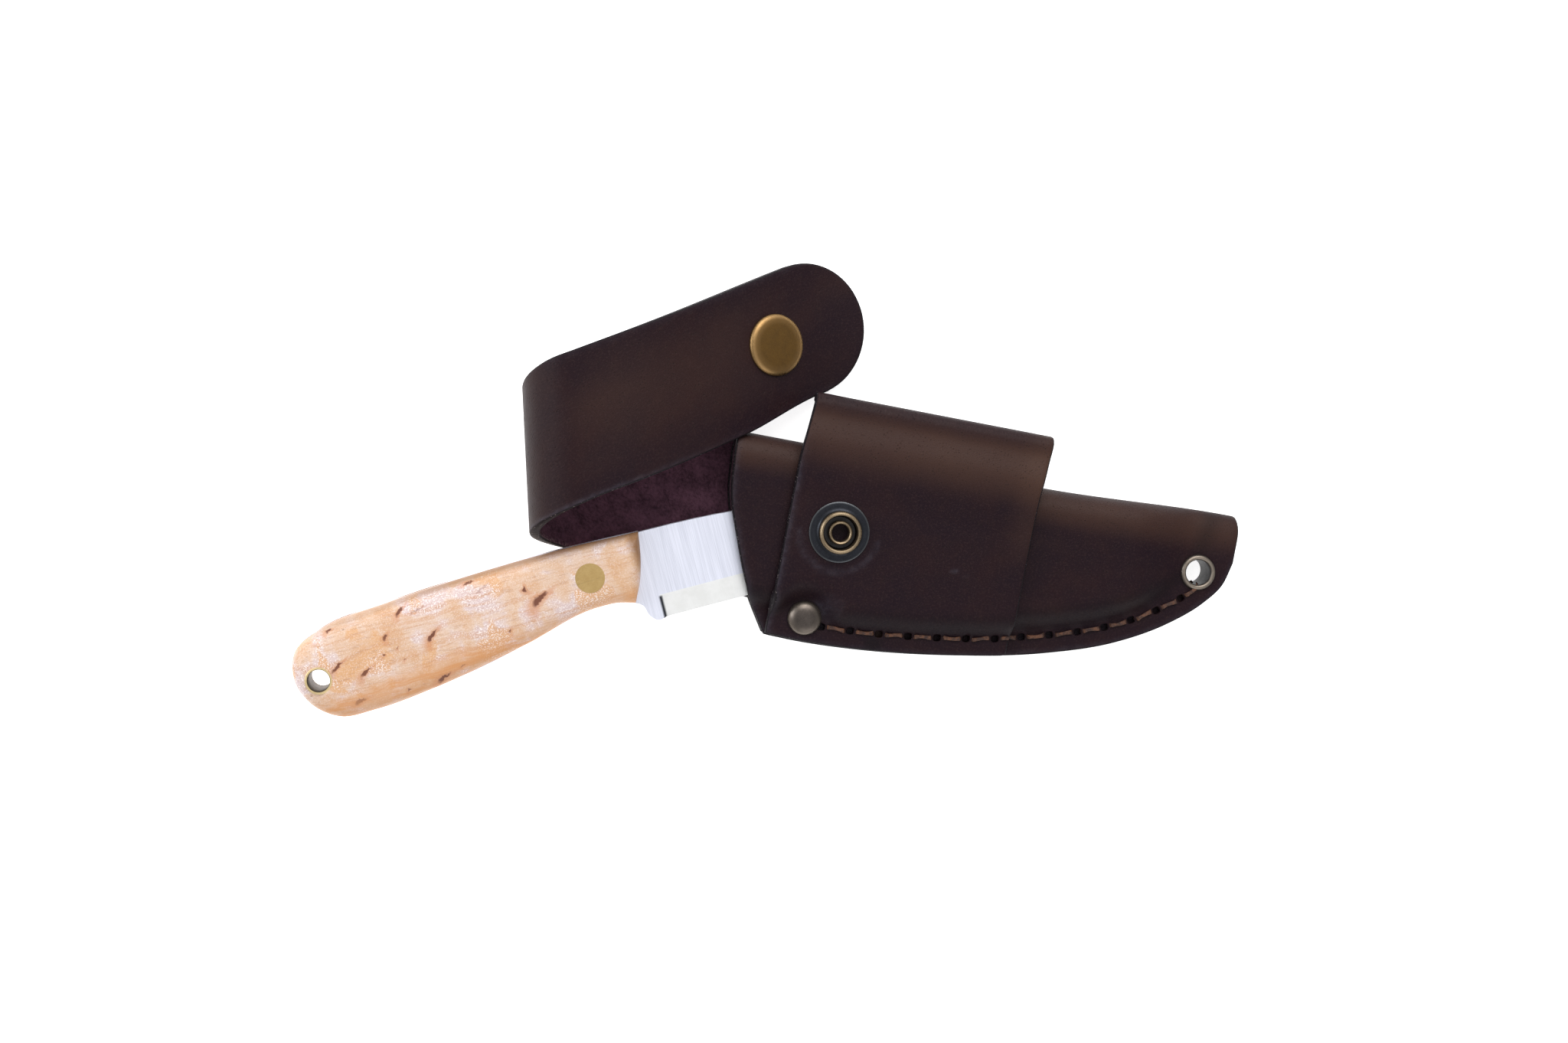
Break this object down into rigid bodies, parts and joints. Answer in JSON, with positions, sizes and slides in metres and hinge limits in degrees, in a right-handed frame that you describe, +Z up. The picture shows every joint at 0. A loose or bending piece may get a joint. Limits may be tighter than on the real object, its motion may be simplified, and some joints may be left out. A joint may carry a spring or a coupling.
{
  "type": "whittling knife in belt sheath",
  "caption": "Short full-tang whittling knife with curly birch scales, half drawn from a laced leather belt sheath with a snap strap.",
  "frame": {"origin": "middle of the belt wrap's back panel, on the surface the sheath lies on", "axes": "+X from the sheath's mouth to its tip, +Y from the laced seam to the folded spine, +Z up out of the sheath's front"},
  "size_m": [0.2288, 0.1312, 0.026],
  "materials": {
    "blade_steel": "satin with a brighter ground bevel",
    "birch": "oiled curly birch with brown flecks",
    "brass": "sanded flush, satin",
    "antique_brass": "antique, browned",
    "blackened_steel": "dark, semi gloss",
    "leather": "dark brown, waxed grain side",
    "waxed_lace": "flat waxed lace"
  },
  "bodies": {
    "sheath": {"sheath_body": "leather", "welt": "leather", "belt_wrap": "leather", "rivet_cap": "antique_brass", "rivet_post": "antique_brass", "snap_stud": "blackened_steel", "stud_eyelet": "antique_brass", "tip_eyelet": "antique_brass", "eyelet_washer": "antique_brass", "seam_lacing": "waxed_lace"},
    "knife": {"blade": "blade_steel", "scale_front": "birch", "scale_back": "birch", "bolt_male": "brass", "bolt_female": "brass", "lanyard_tube": "brass"},
    "strap_root": {"strap_back": "leather"},
    "strap_end": {"strap_front": "leather", "snap_cap": "antique_brass", "snap_socket": "antique_brass"}
  },
  "joints": [
    {"name": "knife_draw", "type": "slide", "parent": "sheath", "child": "knife", "axis": [-0.9063, -0.4226, 0], "range_m": [0, 0.075]},
    {"name": "strap_bend", "type": "hinge", "parent": "sheath", "child": "strap_root", "pos_m": [-0.03405, 0, 0], "axis": [0, -1, 0], "range_deg": [0, 60]},
    {"name": "strap_open", "type": "hinge", "parent": "strap_root", "child": "strap_end", "pos_m": [-0.1006, 0.0028, 0.013], "axis": [0.2284, -0.9736, 0], "range_deg": [0, 110]}
  ]
}
